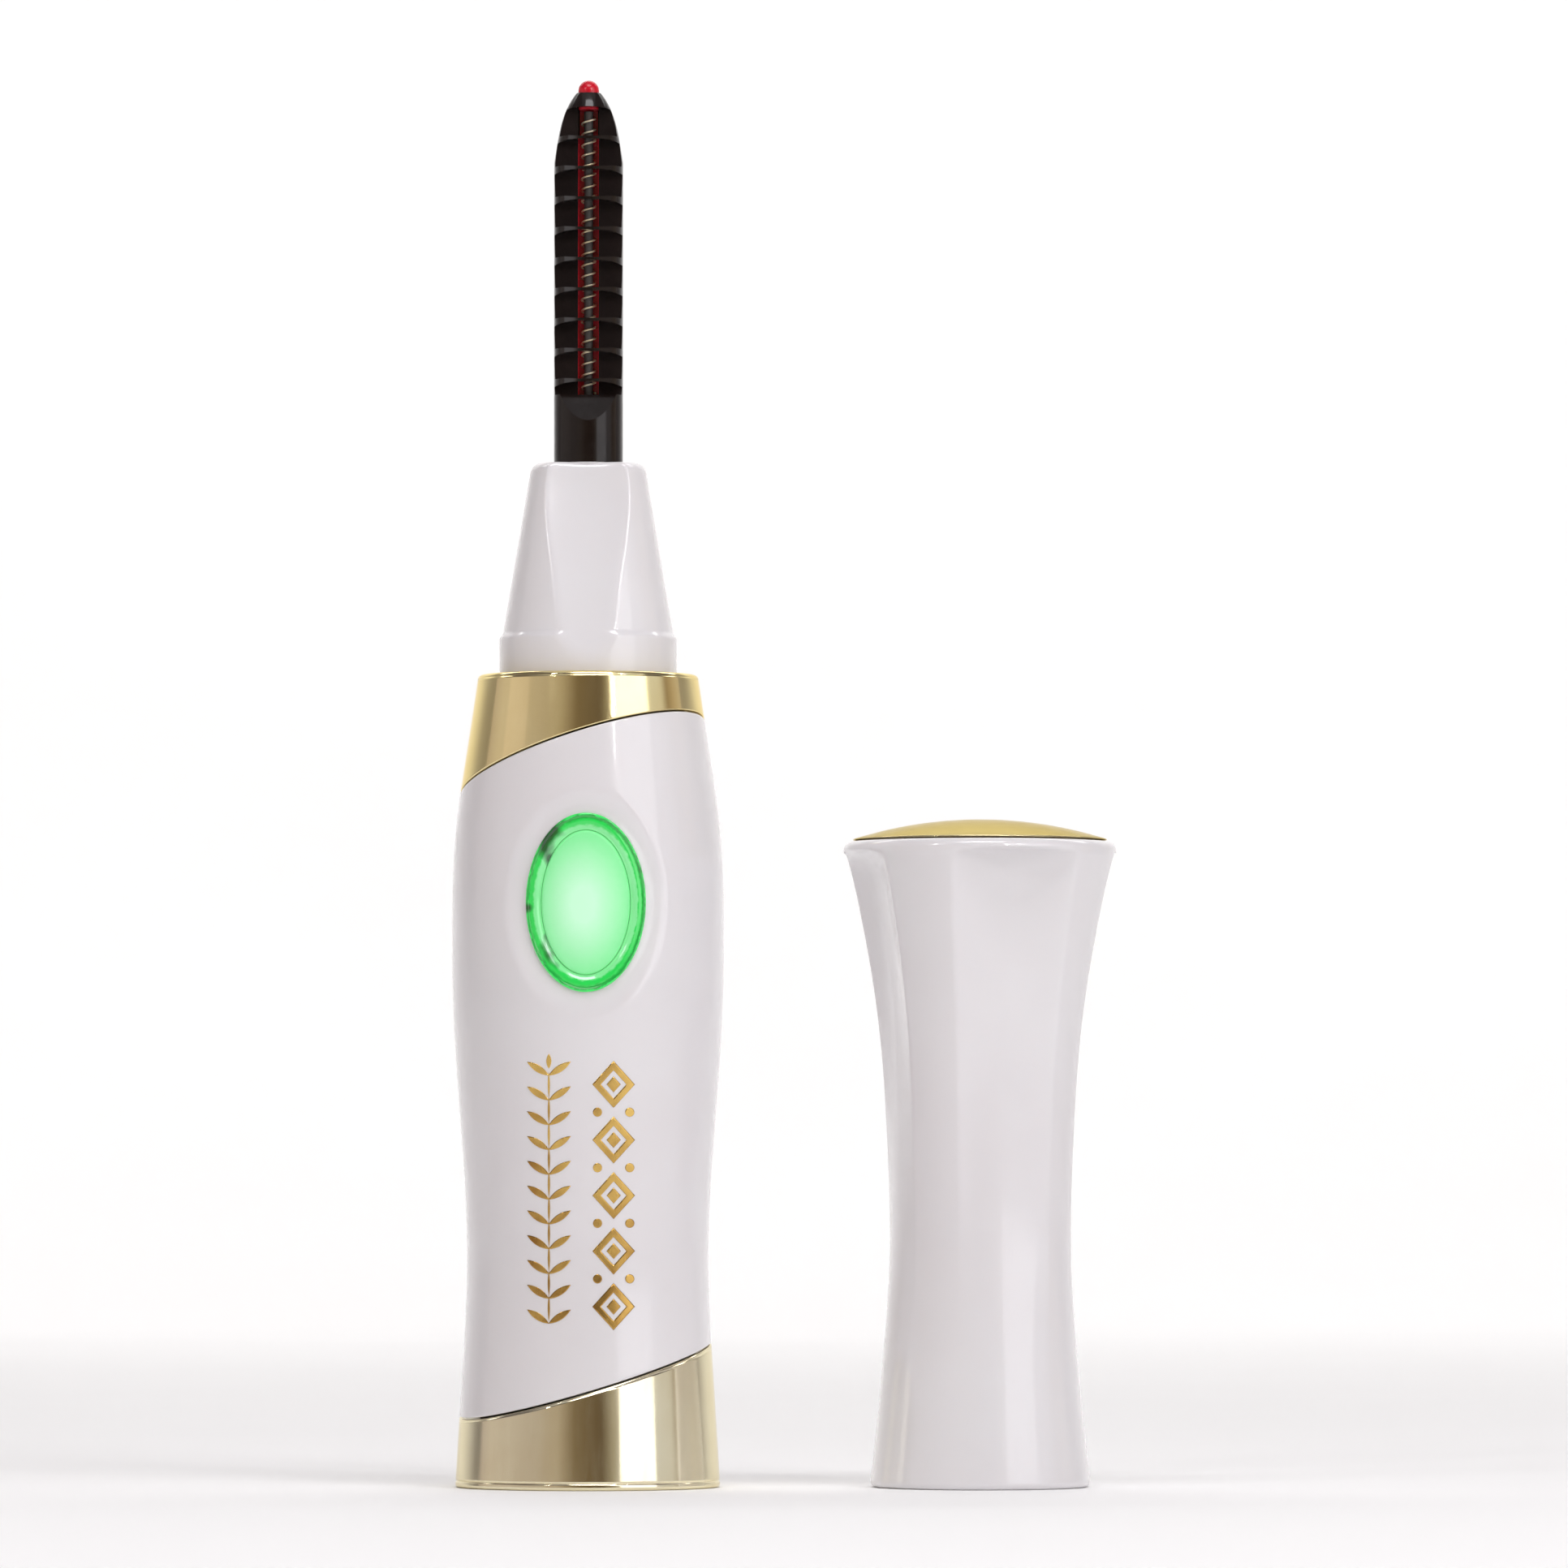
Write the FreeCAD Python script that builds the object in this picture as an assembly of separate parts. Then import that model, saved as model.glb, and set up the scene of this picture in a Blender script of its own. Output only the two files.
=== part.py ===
import FreeCAD, Part
import math
import os

# A battery-heated lash curler and its cap. Millimetres.
# Origin: centre of the handle's flat base. +Z runs up the handle, the button faces -Y,
# and the cap stands mouth down beside the handle, on the +X side.

V = FreeCAD.Vector

# ---- handle ----
# (radius, height) along the outside of the handle, from the foot to the collar's top
HANDLE_OUTLINE = [
    (11.69, 0.0), (11.11, 9.4), (10.65, 20.9), (11.2, 31.6), (11.97, 44.5),
    (12.0, 48.8), (11.72, 57.4), (10.54, 66.0), (9.7, 71.6),
]
FOOT_CHAMFER = 0.25
COLLAR_CHAMFER = 0.35
SEAM_GAP = 0.15
# Each seam is the plane z = height at the axis + slope_x * x + slope_y * y
TOP_SEAM = (64.57, 0.304, -0.19)
BOTTOM_SEAM = (9.53, 0.29, 0.093)

BARREL_BORE = 9.25
BORE_TAPER_Z = (57.5, 60.0)
SPIGOT_R = 8.75
SPIGOT_BORE = 7.6
SPIGOT_TOP = 70.5
COLLAR_BORE = 8.8
COLLAR_TOP = 71.6
COLLAR_MOUTH = 7.55

# ---- base ----
COVER_BORE = 9.95
COVER_FLOOR = 1.4
INSERT_FLANGE_R = 9.85
INSERT_FLANGE_TOP = 6.0
INSERT_SPIGOT_R = 9.15
INSERT_TOP = 15.5
INSERT_BORE = 7.9
INSERT_FLOOR = (1.45, 1.9)
INSERT_LEAD_IN = 0.4

# ---- cell and its contacts ----
CELL_R = 5.25
CELL_BOTTOM = 5.2
CELL_TOP = 48.9
CELL_NUB_R = 1.9
CELL_NUB_TOP = 49.7
CELL_WRAP = 0.15
SPRING_R = 3.6
SPRING_WIRE_R = 0.3
SPRING_TURNS = 3
SPRING_END_GAP = 0.05
SHEET_METAL = 0.22
METAL_GAP = 0.02
NEGATIVE_PLATE_R = 4.4
POSITIVE_PLATE_R = 3.5
POSITIVE_DIMPLE_R = 1.3
POSITIVE_TAB_HALF = 0.8
STRIP_HALF = 1.2
FINGER_Y = -7.7
FINGER_TOP = 13.0
STRIP_Z = (11.0, 43.6)

# ---- chassis and board ----
TUBE_BORE = 5.6
TUBE_R = 6.6
TUBE_BOTTOM = 16.5
BULKHEAD = (50.9, 52.5)
RIB_R = 9.1
RIB_THICK = 1.2
RIB_Z = (17.5, 40.0)
RAIL_X = (3.9, 5.6)
RAIL_Z = (42.5, 57.0)
BOARD_FRONT = -6.9
BOARD_BACK = -5.9
BOARD_HALF_X = 5.5
BOARD_Z = (42.0, 57.0)
SCREW_R = 0.55
SCREW_X = 4.7
SCREW_Z = (44.5, 56.0)
SCREW_END_Y = -4.3
SCREW_HEAD_R = 0.95
SCREW_HEAD_THICK = 0.6
SCREW_SLOT = (0.12, 0.35)
BOARD_WINDOW = 3.6
LED_OFFSET = 3.4
CHIP_PLACE = (-2.6, 46.3)
RESISTOR_PLACES = [(2.2, 45.0), (2.2, 46.4), (2.2, 47.8), (3.6, 50.0)]

# ---- button ----
BUTTON_Z = 51.25
RING_HALF = (5.27, 7.85)
PAD_HALF = (3.87, 6.3)
DISH_HALF = (6.8, 9.7)
DISH_DEPTH = 0.4
RING_INSET = 0.1
PAD_INSET = 0.35
RING_BACK = -9.2
FLANGE_HALF = (4.5, 6.9)
FLANGE_Y = (-9.0, -8.5)
OVAL_GAP = 0.1
PLUNGER_R = 0.7
PLUNGER_BACK = -7.5
SWITCH_HALF = 2.0
SWITCH_FRONT = -7.9
SWITCH_HOLE = (0.85, -7.0)

# ---- neck ----
NECK_R = 7.85
NECK_BAND = (71.7, 74.6)
CONE_FOOT = (7.5, 75.5)
CONE_TOP_R = 5.0
NECK_TOP = 90.3
NECK_SKIRT_R = 7.5
NECK_SKIRT_Z = 62.0
COMB_SOCKET = 0.07
# (radius, height) of the neck's hollow, from the open foot to where the comb's socket starts
NECK_HOLLOW = [(6.3, 60), (6.3, 74), (3.8, 84)]
NECK_SCOOP_R = 16.0
# (height, distance from the axis) down the middle of each scoop in the neck
NECK_SCOOP = [
    (74.0, 8.5), (74.7, 7.8), (76.1, 6.85), (78.9, 6.15), (83.6, 4.72), (88.3, 3.55), (92.0, 3.5),
]

# ---- comb ----
COMB_R = 3.05
COMB_FOOT_Z = 80.0
COMB_TOP = 123.2
COMB_SHOULDER = 117.0
COMB_TIP = [(COMB_R, COMB_SHOULDER), (2.58, 119.8), (1.86, 122.0), (1.1, COMB_TOP)]
FIN_COUNT = 9
FIN_TOP_Z = 119.3
FIN_PITCH = 2.69
FIN_EDGE = 0.22
FIN_SIDE = 0.8
LAST_POCKET = 1.4
POCKET_DEEP_Y = -0.35
POCKET_SHALLOW_Y = -0.85
POCKET_TOP_Z = 121.9
SCOOP_R = 4.5
SCOOP_Y = -6.2
# The hollow under the last fin runs out to the tube's surface along this slanted round cut
RUNOUT_R = 7.6
RUNOUT_START = V(0, -6.62, 101.82)
RUNOUT_WAY = V(0, -1, -1.3)
RUNOUT_TOP = 96.9
SLOT_HALF = 0.915
SLOT_Z = (96.4, 121.7)
CHANNEL_HALF = 1.3
CHANNEL_Y = (-0.2, 1.9)
CHANNEL_TOP = 119.5
TIP_POCKET = (0.95, 1.55)

# ---- heater ----
CARRIER_CLEAR = 0.05
GROOVE_HALF = 0.85
GROOVE_Y = 1.05
CARRIER_Z = (84.0, 119.3)
NUB_R = 0.92
NUB_TOP = 124.35
CORE_R = 0.4
CORE_Y = 0.32
CORE_Z = (83.5, 121.6)
COIL_R = 0.6
COIL_WIRE_R = 0.088
COIL_PITCH = 0.975
COIL_Z = (96.6, 121.3)
LEAD_R = 0.45
LEAD_BEND = 6.0
LEAD_TOP = (0.7, 1.2, 83.2)
LEAD_CORNER_Z = 70.0
LEAD_END_X = 2.2

# ---- cap ----
CAP_X = 34.6
# (radius, height) of the cap's crests, from the mouth to the rim
CAP_OUTLINE = [
    (9.75, 0.0), (8.8, 9.0), (8.32, 16.1), (8.2, 23.3), (8.45, 30.5), (8.9, 37.6),
    (9.8, 44.8), (10.9, 50.5), (12.08, 55.6),
]
CAP_MOUTH_CHAMFER = 0.5
RIM_EDGE = (12.08, 56.1)
RIM_TOP = (11.25, 56.9)
LINER_BORE = 7.9
LINER_GRIP_TOP = 3.8
LINER_NARROW = (5.7, 17.0)
LINER_WALL = 0.7
LINER_MOUTH = 0.35
LINER_CEILING = 53.3
CAP_FLUTE_R = 30.0
CAP_FLUTE_FIRST_DEG = 13.0
# (height, depth) of a cap flute below the crest line
CAP_FLUTE_DEPTHS = [
    (13.0, -0.1), (20.0, 0.12), (29.0, 0.42), (38.0, 0.72), (46.0, 1.02),
    (51.0, 1.15), (53.2, 0.95), (55.0, -0.1),
]
DOME_R = 11.1
DOME_FOOT = 56.6
DOME_TOP = 58.5
DOME_EDGE = 0.25
DOME_PEG_R = 2.0
DOME_PEG_Z = 54.6


def turned(points, x=0.0):
    """A solid turned about Z from a closed outline of (radius, height) points."""
    corners = [V(r, 0, z) for r, z in points]
    face = Part.Face(Part.makePolygon(corners + corners[:1]))
    solid = face.revolve(V(0, 0, 0), V(0, 0, 1), 360)
    solid.translate(V(x, 0, 0))
    return solid


def turned_smooth(outline, top_points=(), x=0.0, inset=0.0):
    """A full solid turned about Z: a smooth side through outline, then straight top points."""
    side = [V(r - inset, 0, z) for r, z in outline]
    curve = Part.BSplineCurve()
    curve.interpolate(side)
    rest = [V(r - inset, 0, z) for r, z in top_points]
    last = (rest or side)[-1]
    path = [side[-1]] + rest + [V(0, 0, last.z), V(0, 0, side[0].z), side[0]]
    edges = [curve.toShape()] + [Part.makeLine(a, b) for a, b in zip(path, path[1:])]
    solid = Part.Face(Part.Wire(edges)).revolve(V(0, 0, 0), V(0, 0, 1), 360)
    solid.translate(V(x, 0, 0))
    return solid


def rod(radius, z_low, z_high, x=0.0, y=0.0):
    """An upright round rod."""
    return Part.makeCylinder(radius, z_high - z_low, V(x, y, z_low))


def block(x_range, y_range, z_range):
    """A box between the given limits."""
    size = [high - low for low, high in (x_range, y_range, z_range)]
    return Part.makeBox(*size, V(x_range[0], y_range[0], z_range[0]))


def oval(half, y_range, grow=0.0):
    """An oval prism on the button's centre, running front to back."""
    centre = V(0, y_range[0], BUTTON_Z)
    tall = centre + V(0, 0, half[1] + grow)
    wide = centre + V(half[0] + grow, 0, 0)
    edge = Part.Ellipse(tall, wide, centre).toShape()
    return Part.Face(Part.Wire([edge])).extrude(V(0, y_range[1] - y_range[0], 0))


def below_seam(seam, shift):
    """Everything under a slanted seam plane that is moved up by shift."""
    height, slope_x, slope_y = seam
    reach = 20
    ring = [(-reach, -reach), (reach, -reach), (reach, reach), (-reach, reach)]
    corners = [V(x, y, height + shift + slope_x * x + slope_y * y) for x, y in ring]
    face = Part.Face(Part.makePolygon(corners + corners[:1]))
    return face.extrude(V(0, 0, -100))


def handle_body(inset=0.0):
    """The full outer form of the handle, from foot to collar, with its two edges broken."""
    solid = turned_smooth(HANDLE_OUTLINE, inset=inset)
    foot_r = HANDLE_OUTLINE[0][0] - inset
    foot = turned([
        (0, 0), (foot_r - FOOT_CHAMFER, 0), (foot_r + 1, 1 + FOOT_CHAMFER),
        (foot_r + 1, NECK_TOP), (0, NECK_TOP),
    ])
    top_r = HANDLE_OUTLINE[-1][0] - inset
    top = turned([
        (0, -1), (20, -1), (20, COLLAR_TOP - 10),
        (top_r + 9, COLLAR_TOP - 9 - COLLAR_CHAMFER), (top_r - COLLAR_CHAMFER, COLLAR_TOP), (0, COLLAR_TOP),
    ])
    return solid.common(foot).common(top)


def base_cover():
    body = handle_body().common(below_seam(BOTTOM_SEAM, -SEAM_GAP / 2))
    return body.cut(rod(COVER_BORE, COVER_FLOOR, BULKHEAD[0]))


def base_insert():
    low, floor = INSERT_FLOOR
    return turned([
        (0, low), (INSERT_FLANGE_R, low), (INSERT_FLANGE_R, INSERT_FLANGE_TOP),
        (INSERT_SPIGOT_R, INSERT_FLANGE_TOP), (INSERT_SPIGOT_R, INSERT_TOP - INSERT_LEAD_IN),
        (INSERT_SPIGOT_R - INSERT_LEAD_IN, INSERT_TOP), (INSERT_BORE, INSERT_TOP),
        (INSERT_BORE, floor), (0, floor),
    ])


def negative_contact():
    low = INSERT_FLOOR[1] + METAL_GAP
    high = low + SHEET_METAL
    width = (-STRIP_HALF, STRIP_HALF)
    plate = rod(NEGATIVE_PLATE_R, low, high)
    bridge = block(width, (FINGER_Y, 0), (low, high))
    finger = block(width, (FINGER_Y, FINGER_Y + SHEET_METAL), (low, FINGER_TOP))
    return plate.fuse([bridge, finger]).removeSplitter()


def helix_wire(radius, wire_r, pitch, height, centre):
    """Round wire wound in a helix that starts at centre's height."""
    path = Part.makeHelix(pitch, height, radius)
    section = Part.makeCircle(wire_r, V(radius, 0, 0), V(0, 1, pitch / (2 * math.pi * radius)))
    shell = Part.Wire(path).makePipeShell([Part.Wire([section])], True, True)
    shell.translate(centre)
    return shell


def negative_spring():
    low = INSERT_FLOOR[1] + METAL_GAP + SHEET_METAL + SPRING_WIRE_R + SPRING_END_GAP
    high = CELL_BOTTOM - SPRING_WIRE_R - SPRING_END_GAP
    pitch = (high - low) / SPRING_TURNS
    return helix_wire(SPRING_R, SPRING_WIRE_R, pitch, high - low, V(0, 0, low))


def cell_can():
    return turned([
        (0, CELL_BOTTOM), (CELL_R - CELL_WRAP, CELL_BOTTOM), (CELL_R - CELL_WRAP, CELL_TOP),
        (CELL_NUB_R, CELL_TOP), (CELL_NUB_R, CELL_NUB_TOP), (0, CELL_NUB_TOP),
    ])


def cell_wrap():
    return rod(CELL_R, CELL_BOTTOM + 0.2, CELL_TOP - 0.1).cut(rod(CELL_R - CELL_WRAP, 0, 60))


def barrel_shell():
    body = handle_body().common(below_seam(TOP_SEAM, -SEAM_GAP / 2))
    body = body.cut(below_seam(BOTTOM_SEAM, SEAM_GAP / 2))
    body = body.fuse(rod(SPIGOT_R, 50, SPIGOT_TOP))
    low, high = BORE_TAPER_Z
    bore = turned([
        (0, 0), (BARREL_BORE, 0), (BARREL_BORE, low), (SPIGOT_BORE, high),
        (SPIGOT_BORE, NECK_TOP), (0, NECK_TOP),
    ])
    front = (-20, -3)
    dish = oval(DISH_HALF, front).cut(handle_body(DISH_DEPTH))
    return body.cut(bore).cut(dish).cut(oval(RING_HALF, front, OVAL_GAP))


def collar_ring():
    body = handle_body().cut(below_seam(TOP_SEAM, SEAM_GAP / 2))
    inside = SPIGOT_TOP + 0.1
    return body.cut(rod(COLLAR_BORE, 50, inside)).cut(rod(COLLAR_MOUTH, 50, 80))


def button_ring():
    ring = oval(RING_HALF, (-20, RING_BACK)).cut(oval(PAD_HALF, (-21, 0), OVAL_GAP))
    return ring.common(handle_body(RING_INSET))


def button_pad():
    pad = oval(PAD_HALF, (-20, FLANGE_Y[0])).common(handle_body(PAD_INSET))
    return pad.fuse(oval(FLANGE_HALF, FLANGE_Y)).removeSplitter()


def front_rod(radius, x, z, y_front, y_back):
    """A round rod that runs front to back."""
    return Part.makeCylinder(radius, y_back - y_front, V(x, y_front, z), V(0, 1, 0))


def switch_plunger():
    return front_rod(PLUNGER_R, 0, BUTTON_Z, FLANGE_Y[1] + METAL_GAP, PLUNGER_BACK)


def switch_body():
    height = (BUTTON_Z - SWITCH_HALF, BUTTON_Z + SWITCH_HALF)
    body = block((-SWITCH_HALF, SWITCH_HALF), (SWITCH_FRONT, BOARD_FRONT), height)
    hole_r, hole_end = SWITCH_HOLE
    return body.cut(front_rod(hole_r, 0, BUTTON_Z, SWITCH_FRONT - 0.1, hole_end))


def screw_places():
    return [(x, z) for x in (-SCREW_X, SCREW_X) for z in SCREW_Z]


def screw_holes():
    return [front_rod(SCREW_R + 0.01, x, z, FLANGE_Y[0], SCREW_END_Y + 0.1) for x, z in screw_places()]


def inner_frame():
    tube = rod(TUBE_R, TUBE_BOTTOM, BULKHEAD[1])
    parts = []
    for turn in (0, 90, 180, 270):
        rib = block((TUBE_R - 0.5, RIB_R), (-RIB_THICK / 2, RIB_THICK / 2), RIB_Z)
        rib.rotate(V(0, 0, 0), V(0, 0, 1), turn + 45)
        parts.append(rib)
    for x_range in (RAIL_X, (-RAIL_X[1], -RAIL_X[0])):
        parts.append(block(x_range, (BOARD_BACK + 0.05, -3.4), RAIL_Z))
    frame = tube.fuse(parts)
    frame = frame.cut(rod(TUBE_BORE, 0, BULKHEAD[0]))
    height = (BOARD_Z[0] - 0.5, BOARD_Z[1] + 3)
    window = block((-BOARD_WINDOW, BOARD_WINDOW), (-RIB_R, -5.2), height)
    clear = block((-RIB_R, RIB_R), (-RIB_R, BOARD_BACK + 0.04), height)
    return frame.cut([window, clear] + screw_holes()).removeSplitter()


def positive_contact():
    top = BULKHEAD[0] - METAL_GAP
    plate = rod(POSITIVE_PLATE_R, top - SHEET_METAL, top)
    dimple = rod(POSITIVE_DIMPLE_R, CELL_NUB_TOP + 0.05, top)
    reach = (BOARD_BACK + 0.05, 0)
    tab = block((-POSITIVE_TAB_HALF, POSITIVE_TAB_HALF), reach, (top - SHEET_METAL, top))
    return plate.fuse([dimple, tab]).removeSplitter()


def negative_strip():
    back = BOARD_FRONT - METAL_GAP
    return block((-STRIP_HALF, STRIP_HALF), (back - SHEET_METAL, back), STRIP_Z)


def circuit_board():
    board = block((-BOARD_HALF_X, BOARD_HALF_X), (BOARD_FRONT, BOARD_BACK), BOARD_Z)
    return board.cut(screw_holes())


def board_screws():
    screws = []
    half_slot, slot_floor = SCREW_SLOT
    for x, z in screw_places():
        head = front_rod(SCREW_HEAD_R, x, z, BOARD_FRONT - SCREW_HEAD_THICK, BOARD_FRONT)
        shank = front_rod(SCREW_R, x, z, BOARD_FRONT - 0.1, SCREW_END_Y)
        slot = block((x - 1, x + 1), (FLANGE_Y[1], BOARD_FRONT - slot_floor), (z - half_slot, z + half_slot))
        screws.append(head.fuse(shank).cut(slot).removeSplitter())
    return Part.Compound(screws)


def front_chips(places, half_x, half_z, height):
    """Small blocks that stand on the board's front face."""
    solids = []
    for x, z in places:
        limits = (x - half_x, x + half_x), (BOARD_FRONT - height, BOARD_FRONT), (z - half_z, z + half_z)
        solids.append(block(*limits))
    return Part.Compound(solids)


def green_leds():
    return front_chips([(0, BUTTON_Z - LED_OFFSET), (0, BUTTON_Z + LED_OFFSET)], 0.8, 0.4, 0.6)


def controller_chip():
    return front_chips([CHIP_PLACE], 1.0, 1.5, 0.7)


def board_resistors():
    return front_chips(RESISTOR_PLACES, 0.5, 0.25, 0.35)


def groove_cutter(line, radius, x=0.0):
    """A cutter for a long hollow that faces -Y and touches each (height, distance) point of line."""
    rings = [Part.Wire([Part.makeCircle(radius, V(x, -(near + radius), z))]) for z, near in line]
    return Part.makeLoft(rings, True, False)


def neck_cone():
    band_low, band_high = NECK_BAND
    outer = turned([
        (0, NECK_SKIRT_Z), (NECK_SKIRT_R, NECK_SKIRT_Z), (NECK_SKIRT_R, band_low), (NECK_R, band_low),
        (NECK_R, band_high), CONE_FOOT, (CONE_TOP_R + 0.1, NECK_TOP - 0.9),
        (CONE_TOP_R - 0.25, NECK_TOP - 0.25), (CONE_TOP_R - 0.9, NECK_TOP), (0, NECK_TOP),
    ])
    low, high = NECK_HOLLOW[0][1], NECK_HOLLOW[-1][1]
    socket_r = COMB_R + COMB_SOCKET
    inside = turned([(0, low)] + NECK_HOLLOW + [(socket_r, high), (socket_r, COIL_Z[0]), (0, COIL_Z[0])])
    neck = outer.cut(inside)
    for turn in (0, 180):
        scoop = groove_cutter(NECK_SCOOP, NECK_SCOOP_R)
        scoop.rotate(V(0, 0, 0), V(0, 0, 1), turn)
        neck = neck.cut(scoop)
    return neck


def pocket(top_z, fin_z):
    """The hollow between one fin's arched underside and the flat top of the next one down."""
    reach = COMB_R + 0.3
    roof = Part.Arc(V(reach, 0, top_z - FIN_SIDE), V(0, 0, top_z - FIN_EDGE), V(-reach, 0, top_z - FIN_SIDE))
    left = [V(-reach, 0, top_z - FIN_SIDE), V(-reach, 0, fin_z)]
    right = [V(reach, 0, fin_z), V(reach, 0, top_z - FIN_SIDE)]
    face = Part.Face(Part.Wire([roof.toShape()] + Part.makePolygon(left + right).Edges))
    face.translate(V(0, -reach, 0))
    arched = face.extrude(V(0, 2 * reach, 0))
    wedge = [
        V(-reach, -reach - 1, fin_z - 1), V(-reach, POCKET_SHALLOW_Y, fin_z - 1),
        V(-reach, POCKET_SHALLOW_Y, fin_z), V(-reach, POCKET_DEEP_Y, top_z), V(-reach, -reach - 1, top_z),
    ]
    sloped = Part.Face(Part.makePolygon(wedge + wedge[:1])).extrude(V(2 * reach, 0, 0))
    return arched.common(sloped)


def comb_sleeve():
    body = turned_smooth(COMB_TIP).fuse(rod(COMB_R, COMB_FOOT_Z, COMB_SHOULDER)).removeSplitter()
    fin_tops = [FIN_TOP_Z - FIN_PITCH * k for k in range(FIN_COUNT)]
    roofs = [POCKET_TOP_Z + FIN_EDGE] + fin_tops
    floors = fin_tops + [fin_tops[-1] - LAST_POCKET]
    pockets = [pocket(top_z, fin_z) for top_z, fin_z in zip(roofs, floors)]
    runout = Part.makeCylinder(RUNOUT_R, 12, RUNOUT_START, RUNOUT_WAY)
    runout = runout.common(block((-5, 5), (-20, 0), (80, RUNOUT_TOP)))
    scoop = Part.makeCylinder(SCOOP_R, POCKET_TOP_Z - SLOT_Z[0], V(0, SCOOP_Y, SLOT_Z[0]))
    slot = block((-SLOT_HALF, SLOT_HALF), (-1.5, 0), SLOT_Z)
    bridges = [block((-2, 2), (-4, POCKET_DEEP_Y), (z - FIN_EDGE, z)) for z in fin_tops]
    slot = slot.cut(Part.Compound(bridges))
    channel = block((-CHANNEL_HALF, CHANNEL_HALF), CHANNEL_Y, (COMB_FOOT_Z - 1, CHANNEL_TOP))
    half, back = TIP_POCKET
    tip_pocket = block((-half, half), (CHANNEL_Y[0], back), (CHANNEL_TOP - 0.1, POCKET_TOP_Z))
    nub_hole = rod(NUB_R + 0.04, POCKET_TOP_Z - 0.2, COMB_TOP + 1)
    body = body.cut(pockets).cut(scoop).cut(runout)
    return body.cut(slot).cut(channel).cut(tip_pocket).cut(nub_hole)


def heater_carrier():
    half = CHANNEL_HALF - CARRIER_CLEAR
    bar = block((-half, half), (CHANNEL_Y[0] + CARRIER_CLEAR, CHANNEL_Y[1] - CARRIER_CLEAR), CARRIER_Z)
    groove = block((-GROOVE_HALF, GROOVE_HALF), (-1, GROOVE_Y), (CARRIER_Z[0] - 1, NUB_TOP))
    back = TIP_POCKET[1] - 0.1
    low, high = POCKET_TOP_Z - 0.16, POCKET_TOP_Z - 0.02
    strip = block((-0.8, 0.8), (GROOVE_Y, back), (CARRIER_Z[1] - 1, POCKET_TOP_Z + 0.1))
    bridge = block((-0.5, 0.5), (-0.5, back), (low, high))
    dome_z = NUB_TOP - NUB_R
    post = rod(NUB_R, low, dome_z)
    dome = Part.makeSphere(NUB_R, V(0, 0, dome_z))
    top = post.fuse([dome, bridge])
    return bar.cut(groove).fuse([strip.cut(rod(COMB_R, high, NUB_TOP)), top]).removeSplitter()


def heater_core():
    return rod(CORE_R, CORE_Z[0], CORE_Z[1], 0, CORE_Y)


def heater_wire():
    return helix_wire(COIL_R, COIL_WIRE_R, COIL_PITCH, COIL_Z[1] - COIL_Z[0], V(0, CORE_Y, COIL_Z[0]))


def bent_tube(start, corner, end, bend, radius):
    """A round tube along two straight runs that one arc joins."""
    into = (corner - start).normalize()
    out = (end - corner).normalize()
    half_turn = into.getAngle(out) / 2
    back = bend * math.tan(half_turn)
    first = corner - into * back
    last = corner + out * back
    inward = (out - into).normalize()
    middle = corner + inward * (bend / math.cos(half_turn) - bend)
    edges = [Part.makeLine(start, first), Part.Arc(first, middle, last).toShape(), Part.makeLine(last, end)]
    section = Part.Wire([Part.makeCircle(radius, start, into)])
    return Part.Wire(edges).makePipeShell([section], True, True)


def heater_leads():
    leads = []
    for side in (-1, 1):
        x, y, z = LEAD_TOP
        top = V(side * x, y, z)
        corner = V(side * x, y, LEAD_CORNER_Z)
        end = V(side * LEAD_END_X, BOARD_FRONT + 0.5, BOARD_Z[1] + 0.4)
        leads.append(bent_tube(top, corner, end, LEAD_BEND, LEAD_R))
    return Part.Compound(leads)


def liner_outline(grow=0.0, low=LINER_MOUTH, ceiling=LINER_CEILING):
    """The cap's inner space: a straight grip, a taper and a long round well."""
    narrow_r, narrow_z = LINER_NARROW
    return [
        (0, low), (LINER_BORE + grow, low), (LINER_BORE + grow, LINER_GRIP_TOP + grow / 4),
        (narrow_r + grow, narrow_z + grow / 4), (narrow_r + grow, ceiling + grow), (0, ceiling + grow),
    ]


def cap_liner():
    outer = turned(liner_outline(LINER_WALL), CAP_X)
    return outer.cut(turned(liner_outline(low=LINER_MOUTH - 1), CAP_X))


def cap_radius(height):
    """The crest radius at a height, by straight steps along the outline."""
    for (r_low, z_low), (r_high, z_high) in zip(CAP_OUTLINE, CAP_OUTLINE[1:]):
        if height <= z_high:
            return r_low + (r_high - r_low) * (height - z_low) / (z_high - z_low)
    return CAP_OUTLINE[-1][0]


def cap_shell():
    body = turned_smooth(CAP_OUTLINE, [RIM_EDGE, RIM_TOP], CAP_X)
    mouth_r = CAP_OUTLINE[0][0] - CAP_MOUTH_CHAMFER
    mouth = turned([(0, 0), (mouth_r, 0), (mouth_r + 5, 5), (20, 5), (20, 70), (0, 70)], CAP_X)
    body = body.common(mouth)
    line = [(z, cap_radius(z) - depth) for z, depth in CAP_FLUTE_DEPTHS]
    for quarter in range(4):
        flute = groove_cutter(line, CAP_FLUTE_R, CAP_X)
        flute.rotate(V(CAP_X, 0, 0), V(0, 0, 1), CAP_FLUTE_FIRST_DEG + 90 * quarter)
        body = body.cut(flute)
    body = body.cut(turned(liner_outline(LINER_WALL + 0.03, low=-1), CAP_X))
    body = body.cut(rod(DOME_R + 0.05, DOME_FOOT, 60, CAP_X))
    return body.cut(rod(DOME_PEG_R + 0.03, 50, 60, CAP_X))


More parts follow.
